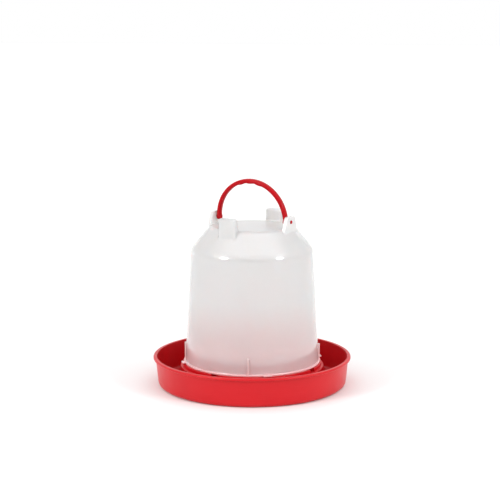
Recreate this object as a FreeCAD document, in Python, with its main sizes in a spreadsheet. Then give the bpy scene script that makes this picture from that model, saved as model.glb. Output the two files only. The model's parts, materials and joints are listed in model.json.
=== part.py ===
import FreeCAD, Part
import math
import os

import Sketcher

# Poultry waterer fount: a gravity drinker that comes apart into three mouldings.
# base_tray is the drinking tray, tank is the inverted water tank that stands in it, and bail_handle
# is the carrying handle whose stub pins turn in the tank's two ears.
# Frame: origin at the centre of the tray's underside, +Z up, +X along the handle's pivot axis.
# Lengths are in millimetres and angles in degrees.

DIMENSIONS = {
    # How far a cut runs past the wall that it goes through
    "overcut": 1.0,
    # Tray: a shell of one wall thickness, open underneath
    "tray_wall": 2.5,
    "lip_radius": 180.0,
    "lip_overhang": 4.0,
    "lip_height": 4.5,
    "rim_height": 53.5,
    "tray_base_radius": 171.0,
    "tray_base_round": 9.0,
    "trough_inner_round": 4.0,
    "lip_round": 1.9,
    "edge_round": 1.0,
    "ledge_round": 1.5,
    "island_base_radius": 133.0,
    "ledge_radius": 130.5,
    "ledge_height": 36.0,
    "seat_height": 42.0,
    "seat_inner_radius": 118.5,
    "seat_outer_radius": 126.5,
    "outlet_width": 14.0,
    "outlet_count": 4,
    "spigot_base_radius": 114.5,
    "spigot_top_radius": 113.5,
    "spigot_height": 75.0,
    "spigot_round": 6.0,
    "lug_reach": 117.6,
    "lug_width": 14.0,
    "lug_bottom": 56.0,
    "lug_height": 4.0,
    "lug_count": 4,
    "lug_angle": 22.5,
    "stiffener_start": 20.0,
    "stiffener_length": 90.0,
    "stiffener_drop": 12.0,
    "stiffener_wall": 2.4,
    "stiffener_count": 8,
    # Tank: a tapering wall, a cone shoulder and a flat crown
    "tank_wall": 2.2,
    "flange_radius": 124.5,
    "flange_height": 3.6,
    "flange_round": 1.4,
    "shoulder_radius": 110.5,
    "shoulder_height": 249.8,
    "shoulder_round": 12.7,
    "wall_lean": 3.09,
    "crown_height": 291.0,
    "crown_round": 12.0,
    "cone_slope": 50.2,
    "tab_root": 120.5,
    "tab_reach": 130.0,
    "tab_width": 15.0,
    "tab_height": 2.6,
    "tab_count": 4,
    "tab_angle": -46.3,
    "rib_reach": 123.6,
    "rib_width": 4.0,
    "rib_start": 43.0,
    "rib_height": 75.0,
    "rib_angle": -61.7,
    "tooth_reach": 115.8,
    "tooth_root": 120.0,
    "tooth_width": 14.0,
    "tooth_bottom": 49.0,
    "tooth_height": 4.0,
    "tooth_angle": 0.0,
    # Ears that hold the handle, on the X axis
    "ear_inner": 74.5,
    "ear_thickness": 6.5,
    "ear_top_width": 27.0,
    "ear_base_width": 43.0,
    "ear_base_height": 289.0,
    "ear_corner": 8.0,
    "ear_root_height": 270.0,
    "ear_edge_round": 1.3,
    "pivot_height": 303.0,
    "pivot_bore": 6.4,
    # Feet on the crown that the tank stands on, upside down, while it is filled
    "foot_height": 313.0,
    "foot_inner": 74.3,
    "foot_depth": 13.0,
    "foot_width": 35.0,
    "foot_draft": 1.5,
    "foot_root_height": 271.0,
    "foot_corner": 4.0,
    "foot_round": 3.5,
    # Bail handle: half a ring of flattened round section
    "bail_radius": 70.0,
    "bail_depth": 7.0,
    "bail_width": 10.0,
    "bail_round": 3.2,
    "bail_lean": 5.5,
    "boss_radius": 6.5,
    "stub_diameter": 6.3,
    "stub_end": 82.0,
    "ridge_radius": 3.4,
    "ridge_centre": 68.7,
    "ridge_width": 8.0,
    "ridge_pitch": 15.5,
}

doc = FreeCAD.newDocument("poultry_waterer_fount")
sheet = doc.addObject("Spreadsheet::Sheet", "Dims")
for row, (alias, number) in enumerate(DIMENSIONS.items(), start=1):
    sheet.set(f"A{row}", str(number))
    sheet.setAlias(f"A{row}", alias)
doc.recompute()

PLANE_NORMAL_OFFSET = "AttachmentOffset.Base.z"
CLOSE = 0.05  # two lengths or heights this near count as the same


def value(expression):
    """The number that an expression on the sheet's cells gives."""
    return float(sheet.evalExpression(str(expression)))


def bind(item, target, expression):
    """Bind one property of an object to the sheet."""
    item.setExpression(target, str(expression))


def origin_feature(body, role):
    """One of the body's own origin planes or axes."""
    return next(f for f in body.Origin.OriginFeatures if f.Role == role)


def new_body(label):
    """An empty body whose label names its file."""
    body = doc.addObject("PartDesign::Body", label)
    body.Label = label
    return body


def new_sketch(body, name, role, offset=None):
    """An empty sketch on an origin plane, moved along the plane's normal by offset."""
    sketch = body.newObject("Sketcher::SketchObject", name)
    sketch.AttachmentSupport = [(origin_feature(body, role), "")]
    sketch.MapMode = "FlatFace"
    if offset is not None:
        bind(sketch, PLANE_NORMAL_OFFSET, offset)
    return sketch


def pin_point(sketch, geometry, point, across, up):
    """Hold a point of the sketch at two expressions, or on an axis where one is zero."""
    if str(across) == "0":
        sketch.addConstraint(Sketcher.Constraint("PointOnObject", geometry, point, -2))
    else:
        here = sketch.addConstraint(
            Sketcher.Constraint("DistanceX", -1, 1, geometry, point, value(across)))
        bind(sketch, f"Constraints[{here}]", across)
    if str(up) == "0":
        sketch.addConstraint(Sketcher.Constraint("PointOnObject", geometry, point, -1))
    else:
        here = sketch.addConstraint(
            Sketcher.Constraint("DistanceY", -1, 1, geometry, point, value(up)))
        bind(sketch, f"Constraints[{here}]", up)


def outline(body, name, role, corners, offset=None):
    """A closed outline of straight lines, each corner a pair of expressions."""
    sketch = new_sketch(body, name, role, offset)
    points = [FreeCAD.Vector(value(across), value(up), 0) for across, up in corners]
    count = len(points)
    for index in range(count):
        line = Part.LineSegment(points[index], points[(index + 1) % count])
        sketch.addGeometry(line, False)
    for index in range(count):
        sketch.addConstraint(Sketcher.Constraint("Coincident", index, 2, (index + 1) % count, 1))
    for index, (across, up) in enumerate(corners):
        pin_point(sketch, index, 1, across, up)
    return sketch


def rectangle(body, name, role, left, right, bottom, top, offset=None):
    """A rectangular outline from its four sides."""
    corners = [(left, bottom), (right, bottom), (right, top), (left, top)]
    return outline(body, name, role, corners, offset)


def circles(body, name, role, centres, diameter, offset=None):
    """Equal circles, each centre a pair of expressions."""
    sketch = new_sketch(body, name, role, offset)
    for index, (across, up) in enumerate(centres):
        centre = FreeCAD.Vector(value(across), value(up), 0)
        upright = FreeCAD.Vector(0, 0, 1)
        sketch.addGeometry(Part.Circle(centre, upright, value(diameter) / 2), False)
        here = sketch.addConstraint(Sketcher.Constraint("Diameter", index, value(diameter)))
        bind(sketch, f"Constraints[{here}]", diameter)
        pin_point(sketch, index, 3, across, up)
    return sketch


def add_feature(body, kind, name, sketch):
    """A sketch-based PartDesign feature, before its sizes are set."""
    feature = body.newObject(f"PartDesign::{kind}", name)
    feature.Profile = sketch
    return feature


def turn(body, name, sketch, kind="Revolution", angle=360, backwards=False):
    """Revolve a sketch about its own vertical axis, or groove with it."""
    feature = add_feature(body, kind, name, sketch)
    feature.ReferenceAxis = (sketch, ["V_Axis"])
    feature.Angle = angle
    feature.Reversed = backwards
    doc.recompute()
    return feature


def extrude(body, name, sketch, length, kind="Pad", backwards=False, midplane=False, taper=None):
    """Pad a sketch, or pocket with it, by a length bound to the sheet."""
    feature = add_feature(body, kind, name, sketch)
    bind(feature, "Length", length)
    feature.Reversed = backwards
    feature.Midplane = midplane
    if taper is not None:
        bind(feature, "TaperAngle", taper)
    doc.recompute()
    return feature


def repeat_round(body, name, feature, count):
    """Repeat a feature evenly round the body's Z axis."""
    pattern = body.newObject("PartDesign::PolarPattern", name)
    pattern.Originals = [feature]
    pattern.Axis = (origin_feature(body, "Z_Axis"), [""])
    pattern.Angle = 360
    bind(pattern, "Occurrences", count)
    body.Tip = pattern
    doc.recompute()
    return pattern


def mirror_across(body, name, feature, role):
    """Mirror a feature across one of the body's origin planes."""
    mirrored = body.newObject("PartDesign::Mirrored", name)
    mirrored.Originals = [feature]
    mirrored.MirrorPlane = (origin_feature(body, role), [""])
    body.Tip = mirrored
    doc.recompute()
    return mirrored


def round_edges(body, name, radius, wanted):
    """Fillet every edge of the body so far that the test picks out."""
    base = body.Tip
    edges = [f"Edge{n}" for n, edge in enumerate(base.Shape.Edges, start=1) if wanted(edge)]
    if not edges:
        raise RuntimeError(f"{name} found no edge to round")
    fillet = body.newObject("PartDesign::Fillet", name)
    fillet.Base = (base, edges)
    bind(fillet, "Radius", radius)
    doc.recompute()
    if fillet.Shape.isNull():
        raise RuntimeError(f"{name} couldn't be rounded")
    return fillet


def on_ring(*rings):
    """A test for full circles about the Z axis at given pairs of radius and height."""
    targets = [(value(radius), value(height)) for radius, height in rings]

    def test(edge):
        curve = edge.Curve
        if not isinstance(curve, Part.Circle):
            return False
        middle = curve.Center
        if math.hypot(middle.x, middle.y) > CLOSE:
            return False
        return any(
            abs(curve.Radius - radius) < CLOSE and abs(middle.z - height) < CLOSE
            for radius, height in targets
        )

    return test


def build_tray():
    """The tray: ring trough, centre island, seat, outlets, spigot, lugs and stiffeners."""
    body = new_body("base_tray")
    wall = "Dims.tray_wall"
    rim_outer = "Dims.lip_radius - Dims.lip_overhang"
    lip_under = "Dims.rim_height - Dims.lip_height"
    shell = outline(body, "TrayOutline", "XZ_Plane", [
        ("0", "Dims.spigot_height"),
        ("Dims.spigot_top_radius", "Dims.spigot_height"),
        ("Dims.spigot_base_radius", "Dims.ledge_height"),
        ("Dims.ledge_radius", "Dims.ledge_height"),
        ("Dims.island_base_radius", wall),
        (f"Dims.tray_base_radius - {wall}", wall),
        (f"{rim_outer} - {wall}", "Dims.rim_height"),
        ("Dims.lip_radius", "Dims.rim_height"),
        ("Dims.lip_radius", lip_under),
        (rim_outer, lip_under),
        ("Dims.tray_base_radius", "0"),
        (f"Dims.island_base_radius - {wall}", "0"),
        (f"Dims.ledge_radius - {wall}", f"Dims.ledge_height - {wall}"),
        (f"Dims.spigot_base_radius - {wall}", f"Dims.ledge_height - {wall}"),
        (f"Dims.spigot_top_radius - {wall}", f"Dims.spigot_height - {wall}"),
        ("0", f"Dims.spigot_height - {wall}"),
    ])
    turn(body, "TrayShell", shell)
    round_edges(body, "BaseRound", "Dims.tray_base_round", on_ring(("Dims.tray_base_radius", "0")))
    round_edges(body, "TroughOuterRound", f"Dims.tray_base_round - {wall}",
                on_ring((f"Dims.tray_base_radius - {wall}", wall)))
    round_edges(body, "TroughInnerRound", "Dims.trough_inner_round",
                on_ring(("Dims.island_base_radius", wall)))
    round_edges(body, "SpigotRound", "Dims.spigot_round",
                on_ring(("Dims.spigot_top_radius", "Dims.spigot_height")))
    round_edges(body, "SpigotInnerRound", f"Dims.spigot_round - {wall}",
                on_ring((f"Dims.spigot_top_radius - {wall}", f"Dims.spigot_height - {wall}")))
    round_edges(body, "LipRound", "Dims.lip_round", on_ring(("Dims.lip_radius", "Dims.rim_height")))
    round_edges(body, "LipEdges", "Dims.edge_round", on_ring(
        (f"{rim_outer} - {wall}", "Dims.rim_height"), ("Dims.lip_radius", lip_under)))
    round_edges(body, "LedgeRound", "Dims.ledge_round",
                on_ring(("Dims.ledge_radius", "Dims.ledge_height")))

    seat = rectangle(body, "SeatOutline", "XZ_Plane", "Dims.seat_inner_radius",
                     "Dims.seat_outer_radius", f"Dims.ledge_height - {wall} / 2", "Dims.seat_height")
    turn(body, "SeatRing", seat)
    outlet = rectangle(body, "OutletOutline", "XY_Plane", "Dims.seat_inner_radius - Dims.overcut",
                       "Dims.seat_outer_radius + Dims.overcut", "-Dims.outlet_width / 2",
                       "Dims.outlet_width / 2", "Dims.ledge_height")
    cut = extrude(body, "Outlet", outlet, "Dims.seat_height - Dims.ledge_height + Dims.overcut",
                  kind="Pocket", backwards=True)
    repeat_round(body, "Outlets", cut, "Dims.outlet_count")

    lug = rectangle(body, "LugOutline", "XY_Plane", f"Dims.spigot_top_radius - {wall} / 2",
                    "Dims.lug_reach", "-Dims.lug_width / 2", "Dims.lug_width / 2", "Dims.lug_bottom")
    bind(lug, "AttachmentOffset.Rotation.Angle", "Dims.lug_angle")
    first_lug = extrude(body, "Lug", lug, "Dims.lug_height")
    repeat_round(body, "Lugs", first_lug, "Dims.lug_count")

    under_top = f"Dims.spigot_height - {wall}"
    stiffener = rectangle(body, "StiffenerOutline", "XZ_Plane", "Dims.stiffener_start",
                          "Dims.stiffener_start + Dims.stiffener_length",
                          f"{under_top} - Dims.stiffener_drop", f"{under_top} + {wall} / 2")
    first = extrude(body, "Stiffener", stiffener, "Dims.stiffener_wall", midplane=True)
    repeat_round(body, "Stiffeners", first, "Dims.stiffener_count")
    return body


def tank_outer_corners():
    """The tank's outer outline from the axis at the crown down to its flange."""
    foot_radius = ("Dims.shoulder_radius + (Dims.shoulder_height - Dims.seat_height"
                   " - Dims.flange_height) * tan(Dims.wall_lean)")
    return [
        ("0", "Dims.crown_height"),
        (CROWN_RADIUS, "Dims.crown_height"),
        ("Dims.shoulder_radius", "Dims.shoulder_height"),
        (foot_radius, "Dims.seat_height + Dims.flange_height"),
        ("Dims.flange_radius", "Dims.seat_height + Dims.flange_height"),
        ("Dims.flange_radius", "Dims.seat_height"),
        ("0", "Dims.seat_height"),
    ]


# Where the cone meets the crown, and how far the inner shoulder corner lies inside the outer one
CROWN_RADIUS = ("Dims.shoulder_radius"
                " - (Dims.crown_height - Dims.shoulder_height) / tan(Dims.cone_slope)")
WALL_IN = "Dims.tank_wall / cos(Dims.wall_lean)"
CONE_DOWN = "Dims.tank_wall / cos(Dims.cone_slope)"
CORNER_IN = (f"({WALL_IN} - tan(Dims.wall_lean) * {CONE_DOWN})"
             " / (1 - tan(Dims.wall_lean) * tan(Dims.cone_slope))")
CORNER_DOWN = f"({CONE_DOWN} - {CORNER_IN} * tan(Dims.cone_slope))"
CROWN_IN = "Dims.tank_wall * tan(Dims.cone_slope / 2)"


def tank_inner_corners():
    """The outline of the water space, one wall inside the outer one."""
    mouth = (f"Dims.shoulder_radius + (Dims.shoulder_height - Dims.seat_height)"
             f" * tan(Dims.wall_lean) - {WALL_IN}")
    return [
        ("0", "Dims.crown_height - Dims.tank_wall"),
        (f"{CROWN_RADIUS} - {CROWN_IN}", "Dims.crown_height - Dims.tank_wall"),
        (f"Dims.shoulder_radius - {CORNER_IN}", f"Dims.shoulder_height - {CORNER_DOWN}"),
        (mouth, "Dims.seat_height"),
        ("0", "Dims.seat_height"),
    ]


def on_feet(upright):
    """A test for the feet's upright corner edges, or for the edges round their top faces."""
    top = value("Dims.foot_height")
    half = value("Dims.foot_width / 2 + Dims.foot_round")
    near = value("Dims.foot_inner - Dims.foot_round")

    def test(edge):
        box = edge.BoundBox
        if abs(box.Center.x) > half or abs(box.Center.y) < near or box.ZMax < top - CLOSE:
            return False
        return (box.ZLength > value("Dims.foot_round")) == upright

    return test


def ear_outline(body):
    """One ear in side view: flanks that widen from the top down to the crown."""
    top, base, root = "Dims.foot_height", "Dims.ear_base_height", "Dims.ear_root_height"
    half_top, half_base = "Dims.ear_top_width / 2", "Dims.ear_base_width / 2"
    return outline(body, "EarOutline", "YZ_Plane", [
        (f"-{half_base}", root),
        (half_base, root),
        (half_base, base),
        (half_top, top),
        (f"-{half_top}", top),
        (f"-{half_base}", base),
    ], "Dims.ear_inner")


def on_ear_corners(edge):
    """A test for the ears' two top corners, which run through their thickness."""
    box = edge.BoundBox
    thick = abs(box.XLength - value("Dims.ear_thickness")) < CLOSE
    return thick and box.ZMin > value("Dims.foot_height") - CLOSE


def on_ears(edge):
    """A test for the edges round an ear's two flat faces, above the crown's rounded edge."""
    box = edge.BoundBox
    inner = value("Dims.ear_inner")
    outer = inner + value("Dims.ear_thickness")
    across = abs(box.Center.x)
    flat = box.XLength < CLOSE and min(abs(across - inner), abs(across - outer)) < CLOSE
    return flat and box.ZMax > value("Dims.crown_height + Dims.tank_wall")


def build_tank():
    """The tank: shell, flange, tabs, ribs, teeth, two ears and two hollow feet."""
    body = new_body("tank")
    turn(body, "TankSolid", outline(body, "TankOutline", "XZ_Plane", tank_outer_corners()))
    round_edges(body, "ShoulderRound", "Dims.shoulder_round",
                on_ring(("Dims.shoulder_radius", "Dims.shoulder_height")))
    round_edges(body, "CrownRound", "Dims.crown_round",
                on_ring((CROWN_RADIUS, "Dims.crown_height")))
    round_edges(body, "FlangeRound", "Dims.flange_round", on_ring(
        ("Dims.flange_radius", "Dims.seat_height + Dims.flange_height"),
        ("Dims.flange_radius", "Dims.seat_height")))

    foot = rectangle(body, "FootOutline", "XY_Plane", "-Dims.foot_width / 2", "Dims.foot_width / 2",
                     "Dims.foot_inner", "Dims.foot_inner + Dims.foot_depth", "Dims.foot_height")
    first_foot = extrude(body, "Foot", foot, "Dims.foot_height - Dims.foot_root_height",
                         backwards=True, taper="Dims.foot_draft")
    mirror_across(body, "Feet", first_foot, "XZ_Plane")
    round_edges(body, "FootCorners", "Dims.foot_corner", on_feet(upright=True))
    round_edges(body, "FootTops", "Dims.foot_round", on_feet(upright=False))

    ear = extrude(body, "Ear", ear_outline(body), "Dims.ear_thickness")
    mirror_across(body, "Ears", ear, "YZ_Plane")
    round_edges(body, "EarCorners", "Dims.ear_corner", on_ear_corners)
    round_edges(body, "EarEdges", "Dims.ear_edge_round", on_ears)
    bore = circles(body, "BoreOutline", "YZ_Plane", [("0", "Dims.pivot_height")], "Dims.pivot_bore")
    extrude(body, "PivotBores", bore, "2 * (Dims.ear_inner + Dims.ear_thickness + Dims.overcut)",
            kind="Pocket", midplane=True)

    tab = rectangle(body, "TabOutline", "XY_Plane", "Dims.tab_root", "Dims.tab_reach",
                    "-Dims.tab_width / 2", "Dims.tab_width / 2",
                    "Dims.seat_height + Dims.flange_height - Dims.tab_height")
    bind(tab, "AttachmentOffset.Rotation.Angle", "Dims.tab_angle")
    repeat_round(body, "Tabs", extrude(body, "Tab", tab, "Dims.tab_height"), "Dims.tab_count")
    rib = rectangle(body, "RibOutline", "XY_Plane", "Dims.shoulder_radius", "Dims.rib_reach",
                    "-Dims.rib_width / 2", "Dims.rib_width / 2", "Dims.rib_start")
    bind(rib, "AttachmentOffset.Rotation.Angle", "Dims.rib_angle")
    first_rib = extrude(body, "Rib", rib, "Dims.rib_height - Dims.rib_start")
    repeat_round(body, "Ribs", first_rib, "Dims.tab_count")

    turn(body, "WaterSpace", outline(body, "WaterOutline", "XZ_Plane", tank_inner_corners()),
         kind="Groove")
    hollow = rectangle(
        body, "HollowOutline", "XY_Plane",
        "-Dims.foot_width / 2 + Dims.tank_wall", "Dims.foot_width / 2 - Dims.tank_wall",
        "Dims.foot_inner + Dims.tank_wall", "Dims.foot_inner + Dims.foot_depth - Dims.tank_wall",
        "Dims.foot_height - Dims.tank_wall")
    first_hollow = extrude(body, "FootHollow", hollow,
                           "Dims.foot_height - Dims.foot_root_height", kind="Pocket")
    mirror_across(body, "FootHollows", first_hollow, "XZ_Plane")

    tooth = rectangle(body, "ToothOutline", "XY_Plane", "Dims.tooth_reach",
                      "Dims.tooth_root", "-Dims.tooth_width / 2",
                      "Dims.tooth_width / 2", "Dims.tooth_bottom")
    bind(tooth, "AttachmentOffset.Rotation.Angle", "Dims.tooth_angle")
    first_tooth = extrude(body, "Tooth", tooth, "Dims.tooth_height")
    repeat_round(body, "Teeth", first_tooth, "Dims.lug_count")
    return body


def build_handle():
    """The bail handle: half ring, end bosses, stub pins and finger ridges, about its pivot."""
    body = new_body("bail_handle")
    section = rectangle(body, "BailSection", "XY_Plane",
                        "Dims.bail_radius - Dims.bail_depth / 2",
                        "Dims.bail_radius + Dims.bail_depth / 2",
                        "-Dims.bail_width / 2", "Dims.bail_width / 2")
    turn(body, "Bail", section, angle=180, backwards=True)
    smallest = value("Dims.bail_radius - Dims.bail_depth")
    round_edges(body, "BailRound", "Dims.bail_round",
                lambda edge: isinstance(edge.Curve, Part.Circle) and edge.Curve.Radius > smallest)
    boss = circles(body, "BossOutline", "YZ_Plane", [("0", "0")], "2 * Dims.boss_radius",
                   "Dims.bail_radius - Dims.bail_depth / 2")
    mirror_across(body, "Bosses", extrude(body, "Boss", boss, "Dims.bail_depth"), "YZ_Plane")
    stub = circles(body, "StubOutline", "YZ_Plane", [("0", "0")], "Dims.stub_diameter",
                   "Dims.bail_radius")
    first_stub = extrude(body, "Stub", stub, "Dims.stub_end - Dims.bail_radius")
    mirror_across(body, "Stubs", first_stub, "YZ_Plane")
    centres = [
        (f"Dims.ridge_centre * sin({step} * Dims.ridge_pitch)",
         f"Dims.ridge_centre * cos({step} * Dims.ridge_pitch)")
        for step in (-1, 1)
    ]
    ridges = circles(body, "RidgeOutline", "XZ_Plane", centres + [("0", "Dims.ridge_centre")],
                     "2 * Dims.ridge_radius")
    extrude(body, "FingerRidges", ridges, "Dims.ridge_width", midplane=True)
    body.Placement.Rotation = FreeCAD.Rotation(FreeCAD.Vector(1, 0, 0), value("Dims.bail_lean"))
    bind(body, "Placement.Rotation.Angle", "Dims.bail_lean")
    bind(body, "Placement.Base.z", "Dims.pivot_height")
    return body


def check_document(bodies):
    """Stop if any object failed, or if any sub-part isn't one valid solid."""
    for item in doc.Objects:
        if {"Invalid", "Error"} & set(item.State):
            raise RuntimeError(f"{item.Label} failed: {item.State}")
    for body in bodies:
        shape = body.Shape
        if shape.isNull() or not shape.isValid() or len(shape.Solids) != 1:
            raise RuntimeError(f"{body.Label} isn't one valid solid")
        box = shape.BoundBox
        print(f"{body.Label}: {shape.Volume / 1000:.1f} cm3, "
              f"{box.XLength:.1f} x {box.YLength:.1f} x {box.ZLength:.1f} mm, "
              f"z {box.ZMin:.1f} to {box.ZMax:.1f}")


bodies = [build_tray(), build_tank(), build_handle()]
doc.recompute()
check_document(bodies)
os.makedirs("parts", exist_ok=True)
for body in bodies:
    body.Shape.exportStep(f"parts/{body.Label}.step")
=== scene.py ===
import json
import math

import bmesh
import bpy
from mathutils import Matrix, Vector


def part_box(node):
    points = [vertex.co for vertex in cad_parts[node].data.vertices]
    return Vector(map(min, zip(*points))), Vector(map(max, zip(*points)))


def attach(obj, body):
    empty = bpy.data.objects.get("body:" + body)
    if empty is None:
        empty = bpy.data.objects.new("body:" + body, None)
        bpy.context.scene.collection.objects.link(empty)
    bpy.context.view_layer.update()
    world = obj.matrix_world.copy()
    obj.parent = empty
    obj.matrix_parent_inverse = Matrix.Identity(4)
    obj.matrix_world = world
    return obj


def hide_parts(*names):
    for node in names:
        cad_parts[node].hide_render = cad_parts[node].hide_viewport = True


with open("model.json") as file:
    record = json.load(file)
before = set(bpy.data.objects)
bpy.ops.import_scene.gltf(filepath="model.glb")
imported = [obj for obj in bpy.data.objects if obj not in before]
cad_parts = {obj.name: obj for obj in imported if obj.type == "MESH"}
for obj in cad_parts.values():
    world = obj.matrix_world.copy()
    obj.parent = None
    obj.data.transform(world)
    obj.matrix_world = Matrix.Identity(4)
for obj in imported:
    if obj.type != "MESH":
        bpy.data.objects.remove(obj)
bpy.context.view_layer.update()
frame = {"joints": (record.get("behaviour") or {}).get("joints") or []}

# Poultry waterer fount: three mouldings, each built here as one closed mesh with the rounded
# edges, root fillets and even walls of the real thing. Lengths are in millimetres
# in the CAD's frame, and a mesh is scaled to metres when it becomes an object.
MM = 0.001
TURN = 2 * math.pi
ROUND_STEPS = 288           # facets round a full turn of a large shell
ARC_STEP = math.radians(9)  # a fillet's facet
OVERCUT = 1.0               # how far a cutter runs past the face that it opens


def corner_mm(node, end):
    """The lowest (0) or highest (1) corner of a CAD node, in millimetres."""
    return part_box(node)[end] / MM


def half_width_mm(node):
    """Half a CAD node's width along X, in millimetres."""
    return (corner_mm(node, 1).x - corner_mm(node, 0).x) / 2


# Driving sizes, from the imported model
LIP_RADIUS = half_width_mm("base_tray")
SPIGOT_TOP = corner_mm("base_tray", 1).z
FLANGE_RADIUS = half_width_mm("tank")
SEAT_Z = corner_mm("tank", 0).z
FOOT_TOP = corner_mm("tank", 1).z
STUB_END = half_width_mm("bail_handle")
PIVOT_Z = next(j for j in frame["joints"] if j["name"] == "handle_swing")["pos_m"][2] / MM


# ---------------------------------------------------------------- outlines and solids

def polar(radius, angle):
    """A point in plan from its radius and its angle in radians."""
    return Vector((radius * math.cos(angle), radius * math.sin(angle)))


def rounded(corners):
    """An outline's points, each (across, up, radius) corner of it turned into an arc."""
    points = []
    for index, (across, up, radius) in enumerate(corners):
        here = Vector((across, up))
        if not radius:
            points.append(here)
            continue
        back = (Vector(corners[index - 1][:2]) - here).normalized()
        ahead = (Vector(corners[(index + 1) % len(corners)][:2]) - here).normalized()
        half = back.angle(ahead) / 2
        centre = here + (back + ahead).normalized() * radius / math.sin(half)
        start = here + back * radius / math.tan(half) - centre
        sweep = math.copysign(math.pi - 2 * half, back.cross(ahead)) * -1
        steps = max(2, math.ceil(abs(sweep) / ARC_STEP))
        points += [centre + Matrix.Rotation(sweep * n / steps, 2) @ start for n in range(steps + 1)]
    return points


def join_rings(solid, ring, following):
    """Faces between two closed rings, either of which may be a single point."""
    count = max(len(ring), len(following))
    for n in range(count):
        after = (n + 1) % count
        corners = [ring[n % len(ring)], ring[after % len(ring)],
                   following[after % len(following)], following[n % len(following)]]
        solid.faces.new(list(dict.fromkeys(corners)))


def loft(rings, closed=False):
    """A closed solid through rings of points; unless the rings close, both ends are capped."""
    solid = bmesh.new()
    made = [[solid.verts.new(point) for point in ring] for ring in rings]
    for ring, following in zip(made, made[1:]):
        join_rings(solid, ring, following)
    if closed:
        join_rings(solid, made[-1], made[0])
    else:
        for end in (made[0], made[-1]):
            if len(end) > 2:
                solid.faces.new(end)
    bmesh.ops.recalc_face_normals(solid, faces=solid.faces)
    return solid


def revolve(corners, steps=ROUND_STEPS):
    """A solid turned about the Z axis from an outline that starts and ends on that axis."""
    rings = []
    for across, up in rounded(corners):
        if across < 1e-6:
            rings.append([(0, 0, up)])
        else:
            rings.append([(*polar(across, TURN * n / steps), up) for n in range(steps)])
    return loft(rings)


def sector(corners, start, end):
    """A ring's section swept about the Z axis between two angles in radians."""
    steps = math.ceil(abs(end - start) / TURN * ROUND_STEPS)
    section = rounded(corners)
    angles = [start + (end - start) * n / steps for n in range(steps + 1)]
    return loft([[(*polar(across, angle), up) for across, up in section] for angle in angles])


def bevel_edges(solid, edges, width, segments=3):
    """Round some of a solid's edges."""
    bmesh.ops.bevel(solid, geom=edges, offset=width, segments=segments, profile=0.5,
                    affect="EDGES", clamp_overlap=True)


def sharp_edges(solid, angle=math.radians(40)):
    """The edges where two faces meet at more than an angle."""
    return [e for e in solid.edges if e.is_manifold and e.calc_face_angle() > angle]


def turned(solid, angle):
    """A solid turned about the Z axis by an angle in radians."""
    bmesh.ops.transform(solid, matrix=Matrix.Rotation(angle, 4, "Z"), verts=solid.verts)
    return solid


def block(low, high, edge, angle=0.0):
    """A moulded block between two corners, its edges rounded, turned about the Z axis."""
    plan = [(low[0], low[1]), (high[0], low[1]), (high[0], high[1]), (low[0], high[1])]
    solid = loft([[(*point, z) for point in plan] for z in (low[2], high[2])])
    bevel_edges(solid, sharp_edges(solid), edge)
    return turned(solid, angle)


def gather(solids):
    """Several solids that stay clear of each other, as one."""
    together = bmesh.new()
    for solid in solids:
        mesh = bpy.data.meshes.new("part")
        solid.to_mesh(mesh)
        together.from_mesh(mesh)
        solid.free()
        bpy.data.meshes.remove(mesh)
    return together


def new_object(name, solid):
    """An object from a solid."""
    mesh = bpy.data.meshes.new(name)
    solid.to_mesh(mesh)
    solid.free()
    made = bpy.data.objects.new(name, mesh)
    bpy.context.scene.collection.objects.link(made)
    return made


def combine(name, base, *steps):
    """One solid from a base and (operation, solid) steps, worked out exactly in turn."""
    made = new_object(name, base)
    tools = []
    for operation, solid in steps:
        tool = new_object(f"{name}_tool", solid)
        tools.append(tool)
        cut = made.modifiers.new(operation, "BOOLEAN")
        cut.operation = operation
        cut.solver = "EXACT"
        cut.object = tool
    graph = bpy.context.evaluated_depsgraph_get()
    mesh = bpy.data.meshes.new_from_object(made.evaluated_get(graph))
    made.modifiers.clear()
    made.data = mesh
    for tool in tools:
        bpy.data.objects.remove(tool)
    return made


def finish_piece(piece, body, node):
    """Scale a piece to metres, smooth it between its sharp edges and stand it for its node."""
    mesh = piece.data
    mesh.transform(Matrix.Scale(MM, 4))
    mesh.shade_smooth()
    mesh.set_sharp_from_angle(angle=math.radians(38))
    even = piece.modifiers.new("Even normals", "WEIGHTED_NORMAL")
    even.keep_sharp = True
    even.weight = 60
    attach(piece, body)
    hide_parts(node)


# ---------------------------------------------------------------- base tray

TRAY_WALL = 2.5
RIM_Z = 53.5
LIP_OVERHANG, LIP_BAND = 4, 4.5       # how far the rolled lip stands out, and its height
BASE_INSET, ISLAND_INSET = 9, 47      # from the lip in to the trough's outer and inner foot
SEAT_INNER, SEAT_OUTER = 118.5, 126.5
SEAT_HEIGHT, LEDGE_MARGIN = 6, 4      # the seat above its ledge, and the ledge round the seat
LEDGE_Z = SEAT_Z - SEAT_HEIGHT
SPIGOT_RADIUS, SPIGOT_DRAFT = 114.5, 1
LUG_HALF, LUG_REACH = 7, 3.1
LUG_BOTTOM, LUG_TOP = 56, 60


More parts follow.
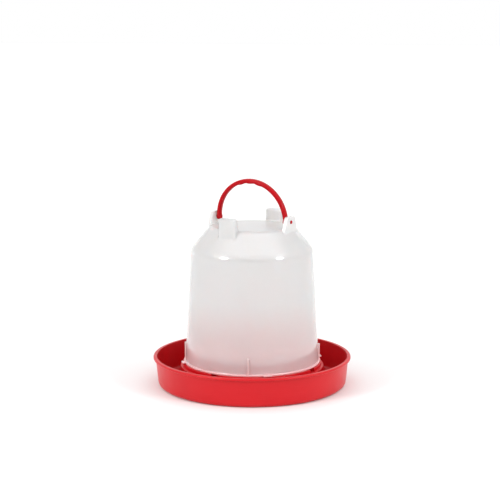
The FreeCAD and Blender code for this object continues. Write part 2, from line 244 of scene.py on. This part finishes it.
def tray_shell():
    """Trough, rolled lip, centre island and spigot, one wall thick and open underneath."""
    rim = LIP_RADIUS - LIP_OVERHANG
    base = LIP_RADIUS - BASE_INSET
    island = LIP_RADIUS - ISLAND_INSET
    ledge = SEAT_OUTER + LEDGE_MARGIN
    spigot_top = SPIGOT_RADIUS - SPIGOT_DRAFT
    wall = TRAY_WALL
    return revolve([
        (0, SPIGOT_TOP, 0),
        (spigot_top, SPIGOT_TOP, 6),
        (SPIGOT_RADIUS, LEDGE_Z, 1.2),
        (ledge, LEDGE_Z, 1.5),
        (island, wall, 4),
        (base - wall, wall, 7),
        (rim - wall, RIM_Z, 1.0),
        (LIP_RADIUS, RIM_Z, 2.0),
        (LIP_RADIUS, RIM_Z - LIP_BAND, 1.2),
        (rim, RIM_Z - LIP_BAND, 0.8),
        (base, 0, 9),
        (island - wall, 0, 1.2),
        (ledge - wall, LEDGE_Z - wall, 2.0),
        (SPIGOT_RADIUS - wall, LEDGE_Z - wall, 1.0),
        (spigot_top - wall, SPIGOT_TOP - wall, 3.5),
        (0, SPIGOT_TOP - wall, 0),
    ])


def tray_seats(outlets=4, outlet_width=14):
    """The raised arcs that carry the tank, with an outlet for the water between each two."""
    sunk = LEDGE_Z - TRAY_WALL / 2
    section = [(SEAT_INNER, SEAT_Z, 1.1), (SEAT_OUTER, SEAT_Z, 1.1), (SEAT_OUTER, sunk, 0),
               (SEAT_INNER, sunk, 0)]
    gap = outlet_width / (SEAT_INNER + SEAT_OUTER)
    return [sector(section, TURN * n / outlets + gap, TURN * (n + 1) / outlets - gap)
            for n in range(outlets)]


def tray_lugs(count=4, first=math.radians(22.5)):
    """The spigot's locking lugs."""
    low = (SPIGOT_RADIUS - SPIGOT_DRAFT - TRAY_WALL / 2, -LUG_HALF, LUG_BOTTOM)
    high = (SPIGOT_RADIUS + LUG_REACH, LUG_HALF, LUG_TOP)
    return [block(low, high, 1.0, first + TURN * n / count) for n in range(count)]


def tray_stiffeners(count=8):
    """Radial webs under the spigot's roof."""
    inner, outer, half, depth = 20, 110, 1.2, 12
    under = SPIGOT_TOP - TRAY_WALL
    low, high = (inner, -half, under - depth), (outer, half, under + TRAY_WALL / 2)
    return [block(low, high, 0.6, TURN * n / count) for n in range(count)]


def build_tray():
    """The red drinking tray."""
    return combine(
        "drinking_tray", tray_shell(),
        ("UNION", gather(tray_seats())),
        ("UNION", gather(tray_lugs())),
        ("UNION", gather(tray_stiffeners())),
    )


# ---------------------------------------------------------------- tank

TANK_WALL = 2.2
FOOT_HEIGHT = 22
CROWN_Z = FOOT_TOP - FOOT_HEIGHT
SHOULDER_RADIUS, SHOULDER_Z = 110.5, 249.8
LEAN = math.tan(math.radians(3.09))
CONE = math.radians(50.2)
CROWN_RADIUS = SHOULDER_RADIUS - (CROWN_Z - SHOULDER_Z) / math.tan(CONE)
FLANGE_THICK = 3.6
FLANGE_TOP = SEAT_Z + FLANGE_THICK
SHOULDER_ROUND, CROWN_ROUND = 26.0, 12.0


def wall_radius(z):
    """The tank's outer radius at a height on its tapering wall."""
    return SHOULDER_RADIUS + (SHOULDER_Z - z) * LEAN


def tank_outside():
    """The tank's outer outline, from the crown's centre down to the mouth."""
    return [
        (0, CROWN_Z, 0),
        (CROWN_RADIUS, CROWN_Z, CROWN_ROUND),
        (SHOULDER_RADIUS, SHOULDER_Z, SHOULDER_ROUND),
        (wall_radius(FLANGE_TOP), FLANGE_TOP, 1.0),
        (FLANGE_RADIUS, FLANGE_TOP, 1.3),
        (FLANGE_RADIUS, SEAT_Z, 1.3),
        (0, SEAT_Z, 0),
    ]


def tank_inside():
    """The water space, an even wall inside the outer outline and open below."""
    lean = math.atan(LEAN)
    cone_down = TANK_WALL / math.cos(CONE)
    wall_in = TANK_WALL / math.cos(lean)
    inward = (wall_in - LEAN * cone_down) / (1 - LEAN * math.tan(CONE))
    downward = cone_down - inward * math.tan(CONE)
    low = SEAT_Z - OVERCUT
    return [
        (0, CROWN_Z - TANK_WALL, 0),
        (CROWN_RADIUS - TANK_WALL * math.tan(CONE / 2), CROWN_Z - TANK_WALL,
         CROWN_ROUND - TANK_WALL),
        (SHOULDER_RADIUS - inward, SHOULDER_Z - downward, SHOULDER_ROUND - TANK_WALL),
        (wall_radius(low) - wall_in, low, 0),
        (0, low, 0),
    ]


CROWN_LINE = [point for point in rounded(tank_outside()) if point.y > SHOULDER_Z - SHOULDER_ROUND]


def crown_height(radius):
    """The height of the crown's and cone's surface at a radius."""
    for inner, outer in zip(CROWN_LINE, CROWN_LINE[1:]):
        if inner.x <= radius <= outer.x:
            share = (radius - inner.x) / max(outer.x - inner.x, 1e-6)
            return inner.y + (outer.y - inner.y) * share
    return CROWN_LINE[-1].y


def plan_ring(centre, half, corner):
    """A rounded rectangle in plan, as points about its centre."""
    across, along = half
    return [Vector(centre) + point for point in rounded([
        (-across, -along, corner), (across, -along, corner),
        (across, along, corner), (-across, along, corner)])]


def root_rings(centre, half, corner, fillet, inset=0.0, steps=7):
    """Rings of the fillet where something stands on the crown, from its wall out to the crown.

    The last ring lies a little under the crown, so that the solids cross cleanly."""
    sunk, skirt = 0.12, 1.5
    rings = []
    for n in range(steps + 1):
        angle = math.pi / 2 * n / steps
        grow = fillet * (1 - math.cos(angle)) - inset
        plan = plan_ring(centre, [h + grow for h in half], corner + grow)
        above = fillet * (1 - math.sin(angle)) - sunk
        rings.append([(x, y, crown_height(math.hypot(x, y)) + above) for x, y in plan])
    rings.append([(x, y, z - skirt) for x, y, z in rings[-1]])
    return rings


FOOT_HALF = (17.5, 6.5)
FOOT_CENTRE_Y = 80.8
FOOT_DRAFT = math.tan(math.radians(1.5))
CORNER_SHARE = 0.9  # of an inset that a foot's plan corner loses


def foot():
    """The foot at +Y: rounded top, drafted wall and a fillet that follows the crown."""
    centre = (0, FOOT_CENTRE_Y)
    top_round, corner, fillet = 4.5, 5.5, 3.2
    steps = 6
    rings = []
    for n in range(steps + 1):
        angle = math.pi / 2 * (1 - n / steps)
        inset = top_round * (1 - math.cos(angle))
        z = FOOT_TOP - top_round * (1 - math.sin(angle))
        plan = plan_ring(centre, [h - inset for h in FOOT_HALF], corner - inset * CORNER_SHARE)
        rings.append([(x, y, z) for x, y in plan])
    flare = FOOT_DRAFT * (FOOT_TOP - CROWN_Z)
    half = [h + flare for h in FOOT_HALF]
    rings += root_rings(centre, half, corner, fillet)
    return loft(rings)


def foot_hollow():
    """The core inside the foot at +Y, which opens into the tank."""
    centre = (0, FOOT_CENTRE_Y)
    half = [h - TANK_WALL for h in FOOT_HALF]
    top_round, corner = 1.6, 2.4
    roof, end = FOOT_TOP - TANK_WALL, CROWN_Z - 18
    rings = []
    for inset, z in ((top_round, roof), (top_round * 0.3, roof - 0.5), (0, roof - top_round),
                     (0, end)):
        plan = plan_ring(centre, [h - inset for h in half], corner - inset * CORNER_SHARE)
        rings.append([(x, y, z) for x, y in plan])
    return loft(rings)


EAR_INNER, EAR_THICK, EAR_BASE_HALF = 74.5, 6.5, 21.5


def ear():
    """The ear at +X: a plate whose flanks widen towards the crown, with all its edges rounded."""
    half_top, half_base, edge = 13.5, EAR_BASE_HALF, 1.3
    base_z, low = FOOT_TOP - 24, CROWN_Z - 20
    outline = rounded([(half_base, low, 0), (half_base, base_z, 6), (half_top, FOOT_TOP, 8),
                       (-half_top, FOOT_TOP, 8), (-half_base, base_z, 6), (-half_base, low, 0)])
    solid = loft([[(x, along, up) for along, up in outline]
                  for x in (EAR_INNER, EAR_INNER + EAR_THICK)])
    rims = [e for e in solid.edges
            if abs(e.verts[0].co.x - e.verts[1].co.x) < 1e-4 and e.verts[0].co.z > low + 0.1]
    bevel_edges(solid, rims, edge)
    return solid


def ear_root():
    """The fillet round the foot of the ear at +X."""
    centre = (EAR_INNER + EAR_THICK / 2, 0)
    half = (EAR_THICK / 2, EAR_BASE_HALF)
    return loft(root_rings(centre, half, corner=1.6, fillet=2.6, inset=0.12))


def pivot_bore():
    """The drill through both ears, wider at each face of an ear."""
    radius, chamfer = 3.2, 0.5
    reach = EAR_INNER + EAR_THICK
    profile = []
    for sign in (-1, 1):
        faces = [(reach + OVERCUT, chamfer + OVERCUT), (reach - chamfer, 0),
                 (EAR_INNER + chamfer, 0), (EAR_INNER - OVERCUT, chamfer + OVERCUT)]
        profile += [(sign * x, radius + wider) for x, wider in faces[::-sign]]
    steps = 40
    rings = [[(x, *(polar(r, TURN * n / steps) + Vector((0, PIVOT_Z)))) for n in range(steps)]
             for x, r in profile]
    return loft(rings)


def tank_grips(count=4):
    """The flange's finger tabs and the upright ribs beside them."""
    tab_half, tab_thick, tab_angle = 7.5, 2.6, math.radians(-46.3)
    rib_half, rib_top, rib_angle = 2, 75, math.radians(-61.7)
    tab = (120.5, -tab_half, FLANGE_TOP - tab_thick), (130, tab_half, FLANGE_TOP)
    rib = (SHOULDER_RADIUS + 5, -rib_half, SEAT_Z + 1), (123.6, rib_half, rib_top)
    solids = []
    for n in range(count):
        turn = TURN * n / count
        solids.append(block(*tab, edge=0.9, angle=tab_angle + turn))
        solids.append(block(*rib, edge=1.1, angle=rib_angle + turn))
    return solids


def tank_teeth(count=4):
    """The teeth inside the mouth that pass under the spigot's lugs."""
    inner, outer, half = 115.8, 120, 7
    bottom, top = 49, 53
    return [block((inner, -half, bottom), (outer, half, top), edge=0.9, angle=TURN * n / count)
            for n in range(count)]


def both_sides(build):
    """A solid and the same one half a turn round the tank."""
    return [turned(build(), angle) for angle in (0, math.pi)]


def build_tank():
    """The milky water tank."""
    half_step = TURN / ROUND_STEPS / 2  # keeps the cutter's edges off the shell's own
    return combine(
        "water_tank", revolve(tank_outside()),
        ("UNION", gather(both_sides(foot) + both_sides(ear))),
        ("UNION", gather(both_sides(ear_root))),
        ("UNION", gather(tank_grips())),
        ("DIFFERENCE", turned(revolve(tank_inside()), half_step)),
        ("DIFFERENCE", gather(both_sides(foot_hollow))),
        ("DIFFERENCE", pivot_bore()),
        ("UNION", gather(tank_teeth())),
    )


# ---------------------------------------------------------------- handle

BAIL_RADIUS, BAIL_DEPTH, BAIL_WIDTH, BAIL_ROUND = 69.7, 7.5, 10.7, 3.3
BAIL_LEAN = math.radians(5.5)
BOSS_RADIUS, PIN_RADIUS = 5.7, 3.15


def finger_ridge(angle):
    """How far the bail's inner side bulges at an angle from its top: three soft finger ridges."""
    pitch, height, steepness = math.radians(15.5), 1.25, 1.5
    nearest = max(-1, min(1, round(angle / pitch))) * pitch
    away = abs(angle - nearest) / pitch
    return height * max(0.0, math.cos(math.pi * away)) ** steepness if away < 0.5 else 0.0


def bail_section(angle):
    """The bail's rounded section at an angle from its top, as points in space."""
    inner = BAIL_RADIUS - BAIL_DEPTH / 2 - finger_ridge(angle)
    outer = BAIL_RADIUS + BAIL_DEPTH / 2
    half = BAIL_WIDTH / 2
    section = rounded([(inner, -half, BAIL_ROUND), (outer, -half, BAIL_ROUND),
                       (outer, half, BAIL_ROUND), (inner, half, BAIL_ROUND)])
    return [(radius * math.sin(angle), along, radius * math.cos(angle)) for radius, along in section]


def bail_pin(side, radius, start, end, edge, steps=48):
    """A round boss or stub pin on the pivot's axis, with rounded rims."""
    length = end - start
    corners = rounded([(0, 0, 0), (radius, 0, edge), (radius, length, edge), (0, length, 0)])
    rings = []
    for across, along in corners:
        x = side * (start + along)
        if across < 1e-6:
            rings.append([(x, 0, 0)])
        else:
            rings.append([(x, *polar(across, TURN * n / steps)) for n in range(steps)])
    return loft(rings)


def build_handle():
    """The red bail handle, leaning back a little in its ears."""
    stations = 200
    angles = [-math.pi / 2 + math.pi * n / stations for n in range(stations + 1)]
    near, far = BAIL_RADIUS - BAIL_DEPTH / 2, BAIL_RADIUS + BAIL_DEPTH / 2
    bosses = [bail_pin(side, BOSS_RADIUS, near, far, edge=1.6) for side in (-1, 1)]
    pins = [bail_pin(side, PIN_RADIUS, BAIL_RADIUS, STUB_END, edge=0.6) for side in (-1, 1)]
    piece = combine("carrying_handle", loft([bail_section(angle) for angle in angles]),
                    ("UNION", gather(bosses)), ("UNION", gather(pins)))
    piece.data.transform(Matrix.Translation((0, 0, PIVOT_Z)) @ Matrix.Rotation(BAIL_LEAN, 4, "X"))
    return piece


# ---------------------------------------------------------------- materials

def add_node(tree, kind, inputs, **settings):
    """A node with its settings and its inputs, which are values or other nodes' outputs."""
    made = tree.nodes.new(kind)
    for name, setting in settings.items():
        setattr(made, name, setting)
    for key, given in inputs.items():
        if isinstance(given, bpy.types.NodeSocket):
            tree.links.new(given, made.inputs[key])
        else:
            made.inputs[key].default_value = given
    return made


def new_material(name):
    """A node material with its Principled shader."""
    material = bpy.data.materials.new(name)
    material.use_nodes = True
    return material, material.node_tree.nodes["Principled BSDF"]


def noise(tree, scale, detail, stretch=(1, 1, 1)):
    """Noise in the piece's own space, as many waves a metre as its scale says."""
    place = add_node(tree, "ShaderNodeTexCoord", {})
    mapping = add_node(tree, "ShaderNodeMapping", {"Vector": place.outputs["Object"],
                                                   "Scale": stretch})
    made = add_node(tree, "ShaderNodeTexNoise", {"Vector": mapping.outputs["Vector"],
                                                 "Scale": scale, "Detail": detail})
    return made.outputs["Fac"]


def spread(tree, factor, low, high, to_low=0.0, to_high=1.0):
    """A factor's range low to high, stretched to another range and clipped to it."""
    made = add_node(tree, "ShaderNodeMapRange",
                    {"Value": factor, "From Min": low, "From Max": high,
                     "To Min": to_low, "To Max": to_high})
    return made.outputs["Result"]


def mix_colours(tree, factor, first, second):
    """A colour between two, by a factor; either may be another node's output."""
    made = tree.nodes.new("ShaderNodeMix")
    made.data_type = "RGBA"
    tree.links.new(factor, made.inputs[0])
    for index, given in ((6, first), (7, second)):
        if isinstance(given, bpy.types.NodeSocket):
            tree.links.new(given, made.inputs[index])
        else:
            made.inputs[index].default_value = given
    return made.outputs[2]


def maths(tree, operation, first, second):
    """Arithmetic on two factors."""
    made = add_node(tree, "ShaderNodeMath", {0: first, 1: second}, operation=operation)
    return made.outputs[0]


def moulded_surface(tree, shader, waviness, grain):
    """Bump of a moulding: slow waviness from cooling, and the mould's fine grain."""
    slow = add_node(tree, "ShaderNodeBump", {"Height": noise(tree, scale=22, detail=2),
                                             "Strength": waviness, "Distance": 0.002})
    fine = add_node(tree, "ShaderNodeBump", {"Height": noise(tree, scale=1400, detail=2),
                                             "Strength": grain, "Distance": 0.0002,
                                             "Normal": slow.outputs["Normal"]})
    tree.links.new(fine.outputs["Normal"], shader.inputs["Normal"])


# Painted light: a brighter red for the tray's inside, standing in for the glow of the water there
PAINTED_GLOW_RED = (0.74, 0.014, 0.020, 1)
WORN_RED = (0.86, 0.20, 0.19, 1)


def red_plastic(name, colour, deep, gloss, coat, glow_radius=0.0):
    """Glossy moulded polypropylene, handled outdoors: faint clouding, scuffs and worn edges.

    Nearer the tank's axis than that radius, in metres, the red is painted brighter: painted light,
    so that it throws more red glow onto the tank's foot, standing in for the lit water in the tray."""
    material, shader = new_material(name)
    tree = material.node_tree
    clouds = spread(tree, noise(tree, scale=14, detail=4), 0.35, 0.65)
    scuffs = spread(tree, noise(tree, scale=9, detail=6, stretch=(3, 3, 60)), 0.60, 0.74)
    edges = spread(tree, add_node(tree, "ShaderNodeNewGeometry", {}).outputs["Pointiness"],
                   0.56, 0.64)
    patches = spread(tree, noise(tree, scale=60, detail=5), 0.40, 0.68, to_high=0.16)
    worn = maths(tree, "MULTIPLY", edges, patches)
    marks = maths(tree, "MAXIMUM", worn, maths(tree, "MULTIPLY", scuffs, 0.03))
    body_colour = mix_colours(tree, clouds, (*deep, 1), (*colour, 1))
    # Painted light: inside the seat the red is made brighter to cast more red glow onto the tank
    if glow_radius:
        place = add_node(tree, "ShaderNodeTexCoord", {}).outputs["Object"]
        level = add_node(tree, "ShaderNodeVectorMath", {0: place, 1: (1, 1, 0)},
                         operation="MULTIPLY").outputs["Vector"]
        radius = add_node(tree, "ShaderNodeVectorMath", {0: level}, operation="LENGTH")
        inside = spread(tree, radius.outputs["Value"], glow_radius, glow_radius + 0.01,
                        to_low=1.0, to_high=0.0)
        body_colour = mix_colours(tree, inside, body_colour, PAINTED_GLOW_RED)
    tree.links.new(mix_colours(tree, marks, body_colour, WORN_RED), shader.inputs["Base Color"])
    sheen = spread(tree, noise(tree, scale=35, detail=5), 0.3, 0.7, to_low=0.29, to_high=0.38)
    rough = maths(tree, "ADD", sheen, maths(tree, "MULTIPLY", marks, 0.3))
    tree.links.new(rough, shader.inputs["Roughness"])
    shader.inputs["Specular IOR Level"].default_value = gloss
    shader.inputs["Coat Weight"].default_value = coat
    shader.inputs["Coat Roughness"].default_value = 0.1
    moulded_surface(tree, shader, waviness=0.12, grain=0.16)
    return material


MILK_DULL = (0.95, 0.935, 0.915, 1)
MILK_CLEAN = (0.965, 0.95, 0.93, 1)
MILK_SCUFFED = (0.975, 0.965, 0.955, 1)
# Painted light: the pink of the red tray's light glowing through the tank's milky foot
PAINTED_RED_GLOW = (0.99, 0.48, 0.49, 1)


def milky_plastic():
    """Translucent natural polyethylene: light goes into the thin wall and comes out softly.

    Faintly clouded and scuffed. Low down, where it stands in the red tray, it is painted pink:
    painted light, standing in for the tray's red light glowing through the wall."""
    material, shader = new_material("milky_polyethylene")
    tree = material.node_tree
    foot_z, flange_z = SEAT_Z * MM, FLANGE_TOP * MM
    clouds = spread(tree, noise(tree, scale=11, detail=4, stretch=(1, 1, 0.35)), 0.32, 0.68)
    scuffs = spread(tree, noise(tree, scale=16, detail=6, stretch=(6, 6, 1.5)), 0.60, 0.78)
    tint = mix_colours(tree, clouds, MILK_DULL, MILK_CLEAN)
    tint = mix_colours(tree, maths(tree, "MULTIPLY", scuffs, 0.25), tint, MILK_SCUFFED)
    place = add_node(tree, "ShaderNodeTexCoord", {}).outputs["Object"]
    height = add_node(tree, "ShaderNodeSeparateXYZ", {0: place}).outputs["Z"]
    # Painted light: a pink tint fading up the wall's foot, stronger on the flange, for the red
    # tray's glow through the plastic
    wall_red_glow = spread(tree, height, foot_z, foot_z + 0.125, to_low=0.66, to_high=0.0)
    flange_red_glow = spread(tree, height, flange_z, flange_z + 0.001, to_low=0.34, to_high=0.0)
    red_glow_share = maths(tree, "ADD", wall_red_glow, flange_red_glow)
    tree.links.new(mix_colours(tree, red_glow_share, tint, PAINTED_RED_GLOW), shader.inputs["Base Color"])
    sheen = spread(tree, noise(tree, scale=30, detail=5), 0.3, 0.7, to_low=0.46, to_high=0.56)
    rough = maths(tree, "ADD", sheen, maths(tree, "MULTIPLY", scuffs, 0.16))
    tree.links.new(rough, shader.inputs["Roughness"])
    shader.inputs["Subsurface Weight"].default_value = 1.0
    shader.inputs["Subsurface Radius"].default_value = (1.0, 0.9, 0.85)
    shader.inputs["Subsurface Scale"].default_value = 0.006
    clear = spread(tree, height, foot_z, foot_z + 0.06, to_low=0.12, to_high=0.55)
    tree.links.new(clear, shader.inputs["Transmission Weight"])
    shader.inputs["Coat Weight"].default_value = 1.0
    shader.inputs["Coat Roughness"].default_value = 0.12
    shader.inputs["Coat IOR"].default_value = 1.75
    moulded_surface(tree, shader, waviness=0.10, grain=0.06)
    return material


def paint(obj, material):
    """Put one material on an object."""
    obj.data.materials.clear()
    obj.data.materials.append(material)


# ---------------------------------------------------------------- stage

CAMERA_BEARING, CAMERA_TILT = 31.6, 80.68  # degrees
CAMERA_PLACE = (1.2283, -2.0038, 0.632)    # metres
FOCAL_LENGTH = 94.85                       # millimetres
FLOOR_HALF = 60.0                          # metres
FLOOR_GREY = (0.87, 0.87, 0.87, 1)
BEHIND_LEVEL, FRONT_LEVEL = 0.97, 0.70     # the surround's brightness
DIM_DEPTH, OVERHEAD_LEVEL, GLINT_LEVEL = 0.5, 1.1, 26.0  # what is taken from it and added to it
GLINT_AZIMUTH, GLINT_ELEVATION = 56, 22    # degrees


def away_from_tank(azimuth, elevation):
    """The direction at an azimuth from the front and an elevation, both in degrees."""
    bearing, rise = math.radians(CAMERA_BEARING + azimuth), math.radians(elevation)
    return Vector((math.sin(bearing) * math.cos(rise), -math.cos(bearing) * math.cos(rise),
                   math.sin(rise)))


def along(tree, direction, axis):
    """How far a direction goes along an axis."""
    made = add_node(tree, "ShaderNodeVectorMath", {0: direction, 1: axis}, operation="DOT_PRODUCT")
    return made.outputs["Value"]


def soft_box(tree, direction, azimuth, elevation, half_width, half_height, edge):
    """A rectangle of the surround, in degrees: 1 inside it and 0 outside its soft edge."""
    ahead = away_from_tank(azimuth, elevation)
    aside = Vector((0, 0, 1)).cross(ahead).normalized()
    mask = spread(tree, along(tree, direction, ahead), 0.0, edge)
    for axis, half in ((aside, half_width), (ahead.cross(aside), half_height)):
        reach = math.sin(math.radians(half))
        off = maths(tree, "ABSOLUTE", along(tree, direction, axis), 0.0)
        mask = maths(tree, "MULTIPLY", mask,
                     spread(tree, off, reach - edge / 2, reach + edge / 2, 1.0, 0.0))
    return mask


def build_surround():
    """A white surround with a broad soft box overhead and a small bright one at each side.

    The side boxes make the glints on the tank's shoulder. The surround is brighter behind the
    object and dim low down in front of it. Seen directly it is plain white."""
    world = bpy.data.worlds.new("studio")
    world.use_nodes = True
    tree = world.node_tree
    direction = add_node(tree, "ShaderNodeTexCoord", {}).outputs["Generated"]
    facing = along(tree, direction, away_from_tank(azimuth=0, elevation=0))
    height = along(tree, direction, (0, 0, 1))
    dim = maths(tree, "MULTIPLY", spread(tree, facing, -0.3, 0.35),
                spread(tree, height, 0.20, 0.42, to_low=1.0, to_high=0.0))
    overhead = soft_box(tree, direction, azimuth=0, elevation=71, half_width=62, half_height=15,
                        edge=0.3)
    left, right = (soft_box(tree, direction, azimuth, GLINT_ELEVATION, half_width=6.5,
                            half_height=6, edge=0.03)
                   for azimuth in (-GLINT_AZIMUTH, GLINT_AZIMUTH))
    sides = maths(tree, "ADD", left, right)
    base = spread(tree, facing, -0.6, 0.2, to_low=BEHIND_LEVEL, to_high=FRONT_LEVEL)
    light = maths(tree, "SUBTRACT", base, maths(tree, "MULTIPLY", dim, DIM_DEPTH))
    light = maths(tree, "ADD", light, maths(tree, "MULTIPLY", overhead, OVERHEAD_LEVEL))
    light = maths(tree, "ADD", light, maths(tree, "MULTIPLY", sides, GLINT_LEVEL))
    seen = add_node(tree, "ShaderNodeLightPath", {}).outputs["Is Camera Ray"]
    shown = add_node(tree, "ShaderNodeMix", {0: seen, 2: light, 3: 1.0})
    background = tree.nodes["Background"]
    background.inputs["Color"].default_value = (1, 1, 1, 1)
    tree.links.new(shown.outputs[0], background.inputs["Strength"])
    bpy.context.scene.world = world


def build_stage():
    """A plain pale floor in the studio's surround."""
    floor_mesh = bpy.data.meshes.new("floor")
    half = FLOOR_HALF
    floor_mesh.from_pydata(
        [(-half, -half, 0), (half, -half, 0), (half, half, 0), (-half, half, 0)], [], [(0, 1, 2, 3)])
    floor = bpy.data.objects.new("floor", floor_mesh)
    bpy.context.scene.collection.objects.link(floor)
    material, shader = new_material("floor_paper")
    shader.inputs["Base Color"].default_value = FLOOR_GREY
    shader.inputs["Roughness"].default_value = 0.8
    paint(floor, material)
    build_surround()


def build_camera():
    """The studio camera: a long lens a little above the tank's crown, looking slightly down."""
    lens = bpy.data.cameras.new("camera")
    lens.sensor_width = 36
    lens.lens = FOCAL_LENGTH
    camera = bpy.data.objects.new("camera", lens)
    bpy.context.scene.collection.objects.link(camera)
    camera.location = CAMERA_PLACE
    camera.rotation_euler = (math.radians(CAMERA_TILT), 0, math.radians(CAMERA_BEARING))
    bpy.context.scene.camera = camera


bpy.context.scene.view_settings.view_transform = "Standard"
build_camera()
build_stage()

tray = build_tray()
paint(tray, red_plastic("tray_polypropylene", colour=(0.57, 0.006, 0.011),
                        deep=(0.53, 0.004, 0.009), gloss=0.28, coat=0.0,
                        glow_radius=(SEAT_INNER - 2) * MM))
finish_piece(tray, "tray", "base_tray")

tank = build_tank()
paint(tank, milky_plastic())
finish_piece(tank, "tank", "tank")

handle = build_handle()
paint(handle, red_plastic("handle_polypropylene", colour=(0.46, 0.002, 0.007),
                          deep=(0.38, 0.002, 0.006), gloss=0.06, coat=0.12))
finish_piece(handle, "handle", "bail_handle")
